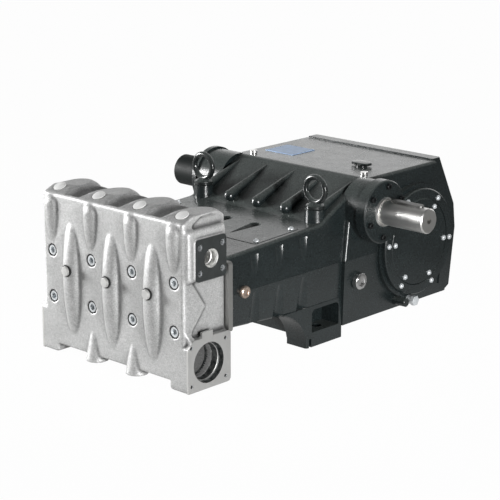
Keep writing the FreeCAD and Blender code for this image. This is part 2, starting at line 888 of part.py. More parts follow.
def port_blocks(side, word):
    """The suction flange and the discharge boss with its plate at one end."""
    start = f"{side} * (port_half_width - suction_block_length / 2) - suction_block_length / 2"
    flange = block(
        f"suction_flange_{word}", "suction_block_length", "suction_flange_long",
        "suction_flange_high", start, "-head_front", "suction_height - suction_flange_high / 2",
    )
    top = worth("suction_flange_high")
    rear = worth("suction_flange_long")
    dress(flange, "Chamfer", "suction_corner",
          lambda e: runs_along(e, "X") and near(e, y=0, z=top))
    dress(flange, "Fillet", "suction_round", lambda e: runs_along(e, "X") and near(e, y=rear))
    inner = 0 if side > 0 else worth("suction_block_length")
    dress(flange, "Fillet", "suction_edge_round",
          lambda e: runs_along(e, "Y") and near(e, x=inner, z=0))
    tab = box(
        f"suction_tab_{word}", "suction_block_length", "suction_tab_rear - suction_tab_front",
        "2 * suction_tab_rise", start, "-head_front + suction_tab_front",
        "suction_height + suction_flange_high / 2 - suction_tab_rise",
    )
    boss_width = "(port_half_width - discharge_plate_stand - head_half_width + suction_block_length)"
    boss = block(
        f"discharge_boss_{word}", boss_width,
        "discharge_boss_rear - discharge_boss_front", "discharge_boss_high - discharge_boss_low",
        f"{side} * (port_half_width - discharge_plate_stand - {boss_width} / 2) - {boss_width} / 2",
        "-head_front + discharge_boss_front", "discharge_boss_low",
    )
    face = worth(boss_width) if side > 0 else 0
    dress(boss, "Fillet", "discharge_boss_round",
          lambda e: runs_along(e, "X") or near(e, x=face))
    plate = block(
        f"discharge_plate_{word}", "2 * discharge_plate_stand",
        "discharge_plate_long", "discharge_plate_high",
        f"{side} * (port_half_width - discharge_plate_stand) - discharge_plate_stand",
        "-head_front + discharge_setback - discharge_plate_long / 2",
        "discharge_height - discharge_plate_high / 2",
    )
    dress(plate, "Fillet", "discharge_plate_round", lambda e: runs_along(e, "X"))
    return flange, tab, boss, plate, shoulder(side, word)


def shoulder(side, word):
    """A sloping shoulder from the head's side down to the suction flange."""
    wall = "head_half_width - 2 * cheek_depth"
    top = "suction_height + suction_flange_high / 2"
    corners = [
        (f"{side} * ({wall})", f"{top} - suction_corner"),
        (f"{side} * port_half_width", f"{top} - suction_corner"),
        (f"{side} * port_half_width", f"{top} - suction_corner / 2"),
        (f"{side} * head_half_width", f"{top} + shoulder_rise"),
        (f"{side} * ({wall})", f"{top} + shoulder_rise"),
    ]
    body = slab(f"shoulder_{word}", "XZ_Plane", corners, "suction_corner", symmetric=False)
    body.Tip.Reversed = True
    return bind(body, y="-head_front + head_edge_round")


def flange_hole(port, side, word, number):
    """One threaded hole of a port's flange, square into its face."""
    dy = "-" if number % 2 else "+"
    dz = "-" if number // 2 else "+"
    return cylinder(
        f"{port}_hole_{word}_{number}", f"{port}_hole_radius", f"{port}_hole_depth",
        f"{side} * (port_half_width - {port}_hole_depth / 2) - {port}_hole_depth / 2",
        f"-head_front + {port}_setback {dy} {port}_hole_long / 2",
        f"{port}_height {dz} {port}_hole_high / 2", "X",
    )


def cheek_pocket(side, word):
    """The head's side lies back a little behind an arrow-shaped front strip."""
    corners = [
        ("-head_front + cheek_strip", "cheek_bend"),
        ("-head_front + cheek_strip", "cheek_upper"),
        ("-head_front + cheek_neck_run", "cheek_upper + cheek_neck_rise"),
        ("-head_front + cheek_crest_run", "cheek_top - cheek_crest_drop"),
        ("-head_front + cheek_level_run", "cheek_top"),
        ("-head_front + head_depth + 1", "cheek_top - cheek_rear_drop"),
        ("-head_front + head_depth + 1", "head_bottom - 2"),
        ("-head_front + head_edge_round", "head_bottom - 2"),
        ("-head_front + head_edge_round", "cheek_low"),
        ("-head_front + cheek_apex_setback", "cheek_apex_height"),
    ]
    blade = slab(f"cheek_blade_{word}", "YZ_Plane", corners, "2 * cheek_depth")
    bind(blade, x=f"{side} * head_half_width")
    kept = fuse(f"cheek_kept_{word}", *[
        box(
            f"cheek_{port}_{word}", "4 * cheek_depth",
            f"{port}_guard_long", f"{port}_guard_high",
            f"{side} * head_half_width - 2 * cheek_depth",
            f"-head_front + {port}_guard_front", f"{port}_guard_low",
        )
        for port in ("suction", "discharge")
    ])
    return cut(f"cheek_pocket_{word}", blade, kept)


def build_head_fittings():
    for i in range(3):
        node(turned(f"front_plug_{i + 1}_turned", [
            ("0", "0"),
            ("0", "plug_radius"),
            ("plug_stand - plug_bevel", "plug_radius"),
            ("plug_stand", "plug_radius - plug_bevel"),
            ("plug_stand", "0"),
        ], x=f"({i} - 1) * column_pitch", y="-head_front - bulge_stand",
            z="axis_height + plug_rise"), f"front_plug_{i + 1}")
        nodes[-1].Placement.Rotation = Rotation(Vector(0, 0, 1), -90)
    plate = block(
        "packing_plate_body", "2 * plate_half_width", "plate_depth", "2 * plate_half_height",
        "-plate_half_width", "-(head_front - head_depth)",
        "axis_height - plate_half_height",
    )
    node(dress(plate, "Fillet", "plate_corner", lambda e: runs_along(e, "Y")), "packing_plate")


def build_rear_cover():
    outline = [
        ("rear_top", "case_top"),
        ("rear_top", "case_top + cover_lip"),
        ("rear_top + cover_thickness", "case_top + cover_lip"),
        ("rear_knee + cover_thickness", "knee_height"),
        ("rear_knee + cover_thickness", "case_bottom + 2 * cover_edge_round"),
        ("rear_knee + cover_edge_round", "case_bottom - cover_edge_round"),
        ("rear_knee", "case_bottom - cover_edge_round"),
        ("rear_knee", "knee_height"),
    ]
    side = slab("rear_cover_side", "YZ_Plane", outline, "2 * cover_half_width")
    knee = worth("rear_knee + cover_thickness")
    bend = worth("knee_height")
    dress(side, "Fillet", "cover_knee_round",
          lambda e: runs_along(e, "X") and near(e, y=knee, z=bend))
    section = drafted_section(
        "rear_cover_section", "cover_half_width", "case_bottom - cover_edge_round",
        "case_top + cover_lip", "rear_top", "rear_knee + cover_thickness",
    )
    cover = carried("rear_cover_body", common("rear_cover_blank", side, section))
    rear = worth("rear_top + cover_thickness") - 1
    back = worth("rear_knee + cover_thickness") - 2
    low = worth("case_bottom + 3 * cover_edge_round")

    def back_rim(edge):
        box = edge.BoundBox
        return box.YMin > rear and box.YMax > back and box.ZLength > 1 and box.ZMax > low

    node(dress(cover, "Fillet", "cover_edge_round", back_rim), "rear_cover")


def build_shaft():
    face = "(housing_length + flange_thickness)"
    centre = {"y": "shaft_setback", "z": "shaft_height"}
    node(disc(
        "flange_turned", "housing_length", face,
        "flange_radius", "cover_bevel", "seal_radius", **centre,
    ), "shaft_bearing_cover")
    node(turned("seal_turned", [
        ("housing_length", "shaft_radius + shaft_play"),
        ("housing_length", "seal_radius"),
        (f"{face}", "seal_radius"),
        (f"{face} + seal_thickness", "seal_radius - seal_groove"),
        (f"{face} + seal_thickness", "seal_radius - 2 * seal_groove"),
        (f"{face} + seal_thickness / 2", "shaft_radius + shaft_play"),
    ], **centre), "shaft_seal_ring")
    bar = turned("shaft_turned", [
        ("shaft_root + 1", "0"),
        ("shaft_root + 1", "shaft_radius"),
        (f"{SHAFT_END} - shaft_bevel", "shaft_radius"),
        (SHAFT_END, "shaft_radius - shaft_bevel"),
        (SHAFT_END, "0"),
    ], **centre)
    key_place = (
        "key_length", "key_width", "key_height",
        f"{SHAFT_END} - key_inset - key_length", "shaft_setback - key_width / 2",
        "shaft_height + shaft_radius + key_rise - key_height",
    )
    centre_hole = cylinder(
        "centre_hole", "centre_hole_radius", "centre_hole_depth",
        f"{SHAFT_END} - centre_hole_depth", "shaft_setback", "shaft_height", "X",
    )
    node(cut("shaft_solid", bar, key_blank("keyway", key_place), centre_hole), "drive_shaft")
    node(key_blank("shaft_key_body", key_place), "shaft_key")
    left_face = "(-housing_left_length - left_flange_thickness)"
    node(disc(
        "left_flange_turned", "-housing_left_length", left_face,
        "flange_radius", "cover_bevel", "0", **centre,
    ), "left_bearing_cover")
    node(disc(
        "end_cap_turned", left_face, f"{left_face} - cap_length",
        "cap_radius", "2 * cover_bevel", "0", **centre,
    ), "shaft_end_cap")


def key_blank(name, place):
    """A feather key with round ends."""
    key = block(name, *place)
    return dress(key, "Fillet", "key_width / 2 - shaft_play", lambda e: runs_along(e, "Z"))


def build_crank_covers():
    centre = {"y": "crank_setback", "z": "axis_height"}
    for side, word in SIDES:
        start = f"{side} * crank_boss_half_length"
        end = f"{side} * (crank_boss_half_length + crank_cover_thickness)"
        node(disc(
            f"crank_ring_{word}", start, end, "crank_ring_radius", "cover_bevel",
            "crank_ring_inner_radius", **centre,
        ), f"crank_bearing_ring_{word}")
        node(disc(
            f"crank_disc_{word}", start, end, "crank_ring_inner_radius", "cover_bevel",
            "0", **centre,
        ), f"crank_end_cover_{word}")


def foot_blank(side, word):
    """A front foot before its window and bolt hole: a block with an arched web."""
    start = f"{side} * ({FOOT_OUTER} - {FOOT_WIDTH} / 2) - {FOOT_WIDTH} / 2"
    body = block(
        f"foot_block_{word}", FOOT_WIDTH, "front_wall + foot_rear", "foot_top",
        start, "-front_wall", "0",
    )
    outer = worth(FOOT_WIDTH) if side > 0 else 0
    dress(body, "Fillet", "foot_edge_round",
          lambda e: runs_along(e, "Z") and near(e, x=outer, y=0))
    web = box(
        f"foot_web_{word}", FOOT_WIDTH, "foot_top + foot_edge_round", "foot_top",
        start, "-front_wall - foot_top", "0",
    )
    arch = cylinder(
        f"foot_arch_{word}", "foot_top", FOOT_WIDTH,
        start, "-front_wall - foot_top", "0", "X",
    )
    clear = box(
        f"foot_clear_{word}", FOOT_WIDTH, "foot_edge_round + 1", "foot_plate",
        start, "-front_wall - 1", "0",
    )
    return fuse(f"foot_blank_{word}", body, cut(f"foot_gusset_{word}", web, arch, clear))


def build_feet():
    for side, word in SIDES:
        window = block(
            f"foot_window_{word}", "foot_pocket_depth + 1",
            "foot_pocket_front + foot_pocket_rear", "foot_pocket_top - foot_plate",
            f"{side} * ({FOOT_OUTER} - foot_pocket_depth / 2 + 0.5) - foot_pocket_depth / 2 - 0.5",
            "-foot_pocket_front", "foot_plate",
        )
        top = worth("foot_pocket_top - foot_plate")
        dress(window, "Fillet", "foot_pocket_round",
              lambda e: runs_along(e, "X") and near(e, z=top))
        rib = box(
            f"foot_rib_{word}", "foot_rib_depth", "foot_rib_width", "foot_pocket_top - foot_plate",
            f"{side} * ({FOOT_OUTER} - foot_pocket_depth + foot_rib_depth / 2) - foot_rib_depth / 2",
            "-foot_rib_place", "foot_plate",
        )
        notch = box(
            f"foot_notch_{word}", "2 * foot_notch_depth", "foot_notch_width", "foot_notch_height",
            f"{side} * {FOOT_OUTER} - foot_notch_depth", "-foot_notch_setback", "0",
        )
        hole = cylinder(
            f"foot_hole_{word}", "foot_bolt_radius", "foot_plate + 2",
            f"{side} * foot_bolt_spacing / 2", "0", "-1",
        )
        blank = doc.getObject(f"foot_blank_{word}")
        opening = cut(f"foot_opening_{word}", window, rib)
        node(cut(f"foot_solid_{word}", blank, opening, notch, hole), f"front_foot_{word}")
        pad = block(
            f"rear_pad_{word}", "rear_foot_side", "rear_foot_side", "case_bottom",
            f"{side} * rear_foot_place - rear_foot_side / 2",
            "rear_foot_setback - rear_foot_side / 2", "0",
        )
        dress(pad, "Fillet", "foot_edge_round", lambda e: runs_along(e, "Z"))
        thread = cylinder(
            f"rear_pad_hole_{word}", "rear_foot_bolt_radius", "case_bottom + 2",
            f"{side} * rear_foot_place", "rear_foot_setback", "-1",
        )
        node(cut(f"rear_foot_solid_{word}", pad, thread), f"rear_foot_{word}")


def deck_climb():
    """The deck's rise to the rear, as an angle in degrees."""
    return math.degrees(math.atan2(
        worth("deck_rear_rise - deck_front_rise"),
        worth("head_front - head_depth - plate_depth - deck_rear"),
    ))


def deck_height(place):
    """The deck's height at a distance ahead of the foot bolts."""
    share = (
        "(deck_rear_rise - deck_front_rise) / (head_front - head_depth - plate_depth - deck_rear)"
    )
    return f"(axis_height + deck_rear_rise - ({place} - deck_rear) * {share})"


def hatch_block(name, gap):
    """The round-cornered block of the inspection cover, grown by a gap."""
    body = block(
        name, f"2 * hatch_half_width + 2 * {gap}", f"hatch_front - hatch_rear + 2 * {gap}",
        f"hatch_sink + {gap} + hatch_stand", f"-hatch_half_width - {gap}",
        f"-hatch_front - {gap}", f"{deck_height(f'(hatch_front + {gap})')} - hatch_sink",
    )
    body.Placement.Rotation = Rotation(Vector(1, 0, 0), deck_climb())
    return dress(body, "Fillet", f"hatch_corner + {gap}", lambda e: runs_along(e, "Z"))


def build_hatch():
    """The inspection cover lies flush in the deck, which climbs to the rear."""
    plate = hatch_block("hatch_plate", "0")
    tools = []
    for i in (-1, 0, 1):
        run = "(drop_front - drop_rear)"
        tear = cone(
            f"drop_cone_{i + 1}", "drop_tip_radius", "drop_radius", run,
            f"{i} * rib_pitch", "-drop_front", deck_height("drop_front"),
        )
        tilt = deck_climb() + math.degrees(math.atan2(worth("drop_lift"), worth(run)))
        tear.Placement.Rotation = Rotation(Vector(1, 0, 0), tilt - 90)
        end = doc.addObject("Part::Sphere", f"drop_end_{i + 1}")
        bind(
            end, Radius="drop_radius", x=f"{i} * rib_pitch", y="-drop_rear",
            z=f"{deck_height('drop_rear')} + drop_lift",
        )
        tools += [tear, end]
    node(cut("hatch_solid", plate, *tools), "crosshead_hatch")


def build_lifting_eyes():
    for side, word in SIDES:
        stem = turned(f"eye_stem_{word}", [
            ("0", "0"),
            ("eye_collar_radius - eye_collar_bevel", "0"),
            ("eye_collar_radius", "eye_collar_bevel"),
            ("eye_collar_radius", "eye_collar_thickness - eye_collar_bevel"),
            ("eye_collar_radius - eye_collar_bevel", "eye_collar_thickness"),
            ("eye_neck_radius", "eye_collar_thickness"),
            ("eye_neck_tip_radius", "eye_collar_thickness + eye_neck_height"),
            ("0", "eye_collar_thickness + eye_neck_height"),
        ], x=f"{side} * eye_place", y="-eye_setback", z="eye_seat", axis="V_Axis")
        ring = doc.addObject("Part::Torus", f"eye_ring_{word}")
        ring.Placement.Rotation = ALONG["Y"]
        bind(
            ring, Radius1="eye_ring_radius", Radius2="eye_rod_radius",
            x=f"{side} * eye_place", y="-eye_setback",
            z="eye_seat + eye_height - eye_ring_radius - eye_rod_radius",
        )
        above = box(
            f"eye_above_{word}", "2 * eye_height", "2 * eye_height", "2 * eye_height",
            f"{side} * eye_place - eye_height", "-eye_setback - eye_height",
            "eye_seat + eye_collar_thickness / 2",
        )
        bow = common(f"eye_bow_{word}", ring, above)
        node(fuse(f"eye_solid_{word}", stem, bow), f"lifting_eye_{word}")


def build_fittings():
    base = turned("filler_base", [
        ("0", "0"),
        ("filler_radius", "0"),
        ("filler_radius", "filler_base_height"),
        ("filler_grip_radius", "filler_base_height"),
        ("filler_grip_radius", "filler_height - filler_bevel"),
        ("filler_grip_radius - filler_bevel", "filler_height"),
        ("0", "filler_height"),
    ], x="filler_across", y="filler_setback", z="case_top", axis="V_Axis")
    lobes = [
        cylinder(
            f"filler_lobe_{side + 1}", "filler_lobe_radius", "filler_height",
            f"filler_across + {side} * filler_lobe_place", "filler_setback", "case_top",
        )
        for side in (-1, 1)
    ]
    node(fuse("filler_solid", base, *lobes), "filler_cap")
    for side, word in SIDES:
        node(cylinder(
            f"top_plug_{word}", "top_plug_radius", "top_plug_height",
            f"{side} * top_plug_across", "top_plug_setback", "case_top",
        ), f"top_plug_{word}")
        node(disc(
            f"guide_plug_{word}_turned", f"{side} * case_front_half_width",
            f"{side} * (case_front_half_width + side_plug_length)",
            "side_plug_radius", "plug_bevel", "0", y="-side_plug_setback", z="axis_height",
        ), f"guide_plug_{word}")
    node(box(
        "nameplate", "nameplate_long", "nameplate_deep", "nameplate_thickness",
        "-nameplate_across - nameplate_long / 2", "nameplate_setback - nameplate_deep / 2",
        "case_top",
    ), "nameplate")
    node(turned("glass_turned", [
        ("glass_seat", "0"),
        ("glass_seat", "glass_radius"),
        ("glass_seat + glass_length - plug_bevel", "glass_radius"),
        ("glass_seat + glass_length", "glass_radius - plug_bevel"),
        ("glass_seat + glass_length", "glass_pane_radius"),
        ("glass_seat + glass_length - glass_pane_sink", "glass_pane_radius"),
        ("glass_seat + glass_length - glass_pane_sink", "0"),
    ], y="glass_setback", z="glass_height"), "oil_sight_glass")
    node(disc(
        "drain_turned", "drain_seat", "drain_seat + drain_length",
        "drain_radius", "plug_bevel", "0", y="drain_setback", z="drain_height",
    ), "drain_plug")
    node(disc(
        "elbow_turned", "drain_seat", "drain_seat + elbow_length",
        "elbow_radius", "plug_bevel", "0", y="elbow_setback", z="drain_height",
    ), "drain_elbow")


def check_document():
    """Stop if an object of the document failed or a sub-part has no sound solid."""
    doc.recompute()
    for thing in doc.Objects:
        if "Invalid" in thing.State or "Error" in thing.State:
            raise RuntimeError(f"{thing.Name} failed: {thing.State}")
    for thing in nodes:
        shape = thing.Shape
        if shape.isNull() or not shape.isValid() or not shape.Solids:
            raise RuntimeError(f"{thing.Label} has no sound solid")


def write_parts():
    os.makedirs("parts", exist_ok=True)
    for thing in nodes:
        thing.Shape.exportStep(os.path.join("parts", f"{thing.Label}.step"))


write_sizes()
build_crankcase()
build_head()
build_head_fittings()
build_rear_cover()
build_shaft()
build_crank_covers()
build_feet()
build_hatch()
build_lifting_eyes()
build_fittings()
check_document()
write_parts()
for thing in nodes:
    shape = thing.Shape
    print(f"{thing.Label}: {len(shape.Solids)} solid, {shape.Volume / 1e3:.1f} cm3")
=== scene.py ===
"""Looks of the plunger pump: finish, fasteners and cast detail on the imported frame."""
import math

import bmesh
import bpy
from mathutils import Matrix, Vector


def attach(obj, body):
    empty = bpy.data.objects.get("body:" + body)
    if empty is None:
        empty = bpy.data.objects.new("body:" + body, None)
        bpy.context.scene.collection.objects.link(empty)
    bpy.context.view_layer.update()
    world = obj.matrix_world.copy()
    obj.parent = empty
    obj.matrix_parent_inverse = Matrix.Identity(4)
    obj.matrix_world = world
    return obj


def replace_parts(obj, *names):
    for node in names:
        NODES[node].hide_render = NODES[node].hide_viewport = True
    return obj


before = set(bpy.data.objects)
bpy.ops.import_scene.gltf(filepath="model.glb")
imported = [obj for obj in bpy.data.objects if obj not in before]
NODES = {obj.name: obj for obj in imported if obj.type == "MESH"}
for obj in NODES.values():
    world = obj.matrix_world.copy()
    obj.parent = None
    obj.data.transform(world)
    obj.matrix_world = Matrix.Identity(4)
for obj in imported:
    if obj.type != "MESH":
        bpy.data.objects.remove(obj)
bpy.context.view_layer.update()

MM = 0.001

# Camera, from the photograph's perspective
CAMERA_PLACE = Vector((2.0706, -2.2317, 0.9822))
CAMERA_AZIMUTH = math.radians(43.172)
CAMERA_ELEVATION = math.radians(15.457)
CAMERA_LENS = 124.06
SENSOR_WIDTH = 36.0
CLIP_NEAR, CLIP_FAR = 0.1, 60.0

# Surroundings: three grey ramps over the world's directions, multiplied together. Each one
# says where it begins and ends, then its level at both.
LEFT_TO_RIGHT = ((0.0, 0.55), (0.95, 0.12))
FRONT_TO_BACK = ((0.0, 0.5), (0.40, 1.3))
FLOOR_TO_CEILING = ((0.33, 0.55), (1.0, 0.27))

# Lights: name, place, target, size in metres, watts
LIGHTS = (
    ("key", (-2.8, -1.7, 0.85), (0, -0.2, 0.15), (1.0, 0.9), 41),
    ("side_strip", (2.8, -1.05, 0.45), (0.05, -0.1, 0.15), (0.24, 0.8), 23),
)
BEAM_SPREAD = math.radians(90)

# Floor, in metres; it glows around the pump only, and is almost plain white to the camera
FLOOR_REACH = 12.0
FLOOR_DEPTH = 0.0005
FLOOR_TONE = (0.36, 0.36, 0.35)
FLOOR_GLOW = 0.36
GLOW_FADE = (0.32, 0.75)
FLOOR_WHITE = 0.98

# Pale dust and painted light from above on the black paint's upper sides
DUST_AND_TOP_LIGHT = (0.066, 0.076, 0.073)

# Corners sharper than this stay sharp when a mesh is shaded smooth, in degrees
CAD_EDGE = 35
PIECE_EDGE = 32

# Rounding of the head: size of its fine skin in metres, and how far it is smoothed
SKIN_SIZE = 2.3 * MM
SKIN_FACTOR = 0.5
SKIN_PASSES = 1

# Places on the pump, in millimetres. Every place in the plane of a side is (y, z).
SIDES = ((-1, "left"), (1, "right"))
FRONT = (0, -1, 0)
RIGHT = (1, 0, 0)
AXIS = 144.5
GUIDE_PLUG_FACE = 174
GUIDE_PLUG_CENTRE = (-220.5, AXIS)
SIGHT_GLASS_PLACE = (179, 74, 101.5)
DRAIN_PLUG_PLACE = (198, 215, 36.5)

# Six screws on each circle of a round cover; the first stands at an angle in degrees
CRANK_CENTRE = (236, AXIS)
CRANK_COVER_FACE = 187.5
CRANK_SCREW_CIRCLES = (91, 73)
CRANK_SCREW_START = -5
SHAFT_CENTRE = (105, 229)
SHAFT_COVER_FACE = {"right": 209, "left": 223}
SHAFT_SCREW_CIRCLE = 46
SHAFT_SCREW_START = 22

# The deck climbs to its rear edge
DECK_REAR = (-15.5, 220.3)
DECK_CLIMB = math.atan2(10.9, 239.5)
HATCH_SCREW_SIDE = 139.5
HATCH_SCREW_ROWS = (-158, -69)
HATCH_SCREW_LIFT = 0.6

# The head's front: four columns of screws in two rows, three plugs between them
COLUMN_PITCH = 100
COLUMNS = [(i - 1.5) * COLUMN_PITCH for i in range(4)]
SCREW_ROWS = [AXIS + side * 41.5 for side in (-1, 1)]
SCREW_SEAT = -353
HEAD_FRONT = -365.2
PLUG_FRONT = -378.0
PLUG_HEIGHT = 160.5
SPOT_PLACE = (-344, 295.5)
SPOT_LEAN = math.radians(25)

# The head's ports: the casting's own face, and the thin machined plate on it. Round holes are
# (radius, number of steps); threads says how far the four tapped holes stand from the centre.
PORT_FACE = 182
PLATE_OUTSIDE = 182.3
SUCTION = {
    "centre": (-318, 47),
    "bore": (35, 48),
    "threads": (39.75, 33.2),
    "tapped_hole": (3.4, 16),
    "plate_inside": 178.5,
    "outline": [
        (-366.2, 2.3, 2), (-265.8, 2.3, 8), (-265.8, 91.7, 8), (-308, 91.7, 0.5),
        (-308, 101.5, 1.5), (-333, 101.5, 1.5), (-333, 91.7, 0.5), (-353, 91.7, 2),
        (-366.2, 78.5, 2),
    ],
}
DISCHARGE = {
    "centre": (-310.5, 224),
    "bore": (16, 32),
    "threads": (26, 21.75),
    "tapped_hole": (5.1, 20),
    "plate_inside": 179.2,
    "outline": [
        (-345.9, 188.3, 8), (-275.1, 188.3, 8), (-275.1, 259.7, 8), (-345.9, 259.7, 8),
    ],
}

# Turned forms: rings of (radius, height) in millimetres, the six-sided ones marked
HEXAGON = "hexagon"
# The screw and plug rings line the gaps round them with painted shade
SCREW_RING = [(9.4, -6), (9.4, 0.0), (10.5, 0.0), (10.5, -6)]
PLUG_RING = [(10.4, -2.5), (10.4, 1.0), (8.7, 1.4), (8.7, -2.5)]
SPOT_FACE = [(11.5, -0.5), (11.5, 1.6), (10.8, 1.9)]
SUCTION_RECESS = [(34.9, 0.3), (34.5, -9.5)]
SUCTION_STEP = [(34.6, -9.5), (32.6, -10)]
SUCTION_SEAT = [(32.6, -10), (31.6, -11)]
SUCTION_WALL = [(31.6, -11), (30.8, -40)]
DISCHARGE_SEAT = [(16.1, 0.35), (13.4, -2.6), (13.0, -4), (13.0, -12), (11.8, -13), (11.8, -30)]
SUCTION_THREAD = [(4.0, 0.35), (3.1, -0.7), (3.0, -8)]
DISCHARGE_THREAD = [(5.9, 0.35), (4.7, -1), (4.6, -12)]
GUIDE_PLUG = [
    (10.3, -0.5), (10.3, 1.2), (8.6, 2.6), (5.4, 2.6),
    (4.6, 2.2, HEXAGON), (4.6, 0.6, HEXAGON), (1.5, 0.5),
]
SIGHT_NUT = [(13.6, -3, HEXAGON), (13.6, 3.4, HEXAGON), (12.4, 4.6), (9.6, 4.6), (9.2, 2.0)]
DRAIN_HEAD = [(8.6, -7, HEXAGON), (8.6, 0.2, HEXAGON), (7.4, 1.0)]
CAP_FOOT = [(11, 0), (11, 2.5), (8, 3)]

# A screw's head starts a little below its seat, so that no gap shows, in millimetres
SUNK = -0.4
SOCKET_CHAMFER = 0.6

# The filler cap's lobes: share of the full reach and height of each ring, in millimetres
LOBE_RINGS = ((0.80, 2.5), (0.97, 3.5), (1.0, 6.5), (0.93, 8.0), (0.45, 8.6))
LOBE_WAIST = 12.5
LOBE_GROWTH = 9

# Steps round a small turned form, round a wide one and round a plate's corner
TURNED_STEPS = 24
FINE_STEPS = 48
CORNER_STEPS = 6


def rgba(colour):
    """A grey level or an RGB colour as RGBA."""
    if isinstance(colour, (int, float)):
        return (colour, colour, colour, 1.0)
    return (*colour, 1.0)


def toned(colour, share):
    """A darker or brighter tone of a colour."""
    return tuple(share * channel for channel in colour)


class Nodes:
    """A node tree under construction, with short calls for common nodes."""

    # A mix node has one set of sockets for each kind of value; these are the colour ones
    MIX_FACTOR, MIX_FIRST, MIX_SECOND, MIX_RESULT = 0, 6, 7, 2

    def __init__(self, tree):
        self.tree = tree

    def node(self, kind, **settings):
        made = self.tree.nodes.new(kind)
        for name, value in settings.items():
            setattr(made, name, value)
        return made

    def link(self, source, target):
        self.tree.links.new(source, target)

    def ramp(self, source, span, colours):
        """Two colours or greys, blended over a span of the source."""
        ramp = self.node("ShaderNodeValToRGB")
        for stop, position, colour in zip(ramp.color_ramp.elements, span, colours):
            stop.position = position
            stop.color = rgba(colour)
        self.link(source, ramp.inputs["Fac"])
        return ramp.outputs["Color"]

    def mix(self, factor, first, second, kind="MIX"):
        """Two colours mixed by a factor; each of the three is a socket or a constant."""
        mix = self.node("ShaderNodeMix", data_type="RGBA", blend_type=kind)
        factor_socket = mix.inputs[self.MIX_FACTOR]
        if isinstance(factor, bpy.types.NodeSocket):
            self.link(factor, factor_socket)
        else:
            factor_socket.default_value = factor
        for colour, index in ((first, self.MIX_FIRST), (second, self.MIX_SECOND)):
            if isinstance(colour, bpy.types.NodeSocket):
                self.link(colour, mix.inputs[index])
            else:
                mix.inputs[index].default_value = rgba(colour)
        return mix.outputs[self.MIX_RESULT]

    def multiply(self, first, *others):
        for other in others:
            first = self.mix(1.0, first, other, "MULTIPLY")
        return first

    def blend(self, share, first, second):
        """Two shaders, the second one in the given share."""
        mix = self.node("ShaderNodeMixShader")
        for source, socket in zip((share, first, second), mix.inputs):
            self.link(source, socket)
        return mix.outputs[0]

    def to_camera(self):
        """One where the camera looks, nought for every other ray."""
        return self.node("ShaderNodeLightPath").outputs["Is Camera Ray"]


class Paint(Nodes):
    """A material with the principled shader."""

    def __init__(self, name):
        self.material = bpy.data.materials.new(name)
        self.material.use_nodes = True
        super().__init__(self.material.node_tree)
        self.shader = self.tree.nodes["Principled BSDF"]
        self.output = self.tree.nodes["Material Output"]

    def set(self, **values):
        """Constant inputs of the shader, by socket name with _ for a blank."""
        for name, value in values.items():
            socket = self.shader.inputs[name.replace("_", " ")]
            socket.default_value = rgba(value) if isinstance(value, tuple) else value
        return self

    def use(self, **sources):
        """Inputs of the shader that come from other nodes, named in the same way."""
        for name, source in sources.items():
            self.link(source, self.shader.inputs[name.replace("_", " ")])

    def place(self):
        """Coordinates fixed to the object, in metres."""
        return self.node("ShaderNodeTexCoord").outputs["Object"]

    def noise(self, scale, detail=3, rough=0.6, stretch=None):
        """Cloudy noise with about so many clouds a metre."""
        source = self.place()
        if stretch:
            mapping = self.node("ShaderNodeMapping")
            mapping.inputs["Scale"].default_value = stretch
            self.link(source, mapping.inputs["Vector"])
            source = mapping.outputs["Vector"]
        noise = self.node("ShaderNodeTexNoise")
        noise.inputs["Scale"].default_value = scale
        noise.inputs["Detail"].default_value = detail
        noise.inputs["Roughness"].default_value = rough
        self.link(source, noise.inputs["Vector"])
        return noise.outputs["Fac"]

    def crease(self, reach, low, dark):
        """Painted shade: a grey that falls from white to a dark level in corners and grooves."""
        shade = self.node("ShaderNodeAmbientOcclusion", samples=8)
        shade.inputs["Distance"].default_value = reach
        return self.ramp(shade.outputs["AO"], (low, 1.0), (dark, 1.0))

    def edges(self, span, levels):
        """A grey that changes from hollow edges (near 0) over flat faces (0.5) to sharp ones."""
        form = self.node("ShaderNodeNewGeometry")
        return self.ramp(form.outputs["Pointiness"], span, levels)

    def upward(self, span):
        """A share that grows as the surface turns to face up."""
        form = self.node("ShaderNodeNewGeometry")
        split = self.node("ShaderNodeSeparateXYZ")
        self.link(form.outputs["Normal"], split.inputs[0])
        return self.ramp(split.outputs["Z"], span, (0.0, 1.0))

    def bump(self, source, strength, distance, after=None):
        """Normals tilted by a height of up to a distance in metres, over another bump."""
        bump = self.node("ShaderNodeBump")
        bump.inputs["Strength"].default_value = strength
        bump.inputs["Distance"].default_value = distance
        self.link(source, bump.inputs["Height"])
        if after:
            self.link(after, bump.inputs["Normal"])
        return bump.outputs["Normal"]


def cast_silver():
    """Iron casting with a satin metallic coat: cast grain, painted shade in its corners and along
    hollow edges, painted highlights on its sharp edges.
    """
    paint = Paint("cast_silver").set(Metallic=0.40, IOR=1.5)
    cloud = paint.noise(13)
    grain = paint.noise(620, rough=0.75)
    coarse = paint.noise(210)
    coat = paint.ramp(cloud, (0.3, 0.7), ((0.50, 0.502, 0.50), (0.61, 0.612, 0.61)))
    specks = paint.ramp(grain, (0.36, 0.64), (0.58, 1.06))
    blots = paint.ramp(coarse, (0.35, 0.65), (0.86, 1.04))
    # Painted shade: darker in wide hollows and along narrow grooves
    hollow_shade = paint.crease(reach=0.014, low=0.45, dark=0.62)
    groove_shade = paint.crease(reach=0.005, low=0.50, dark=0.25)
    # Painted highlights on sharp outer edges, painted shade along hollow inner edges
    edge_highlight = paint.edges((0.505, 0.56), (1.0, 1.45))
    inner_edge_shade = paint.edges((0.465, 0.497), (0.28, 1.0))
    colour = paint.multiply(coat, specks, blots, hollow_shade, groove_shade, edge_highlight, inner_edge_shade)
    rough = paint.ramp(paint.noise(300), (0.2, 0.8), (0.42, 0.58))
    shallow = paint.bump(paint.noise(60, rough=0.5), strength=0.25, distance=0.0015)
    normal = paint.bump(grain, strength=0.38, distance=0.0007, after=shallow)
    paint.use(Base_Color=colour, Roughness=rough, Normal=normal)
    return paint.material


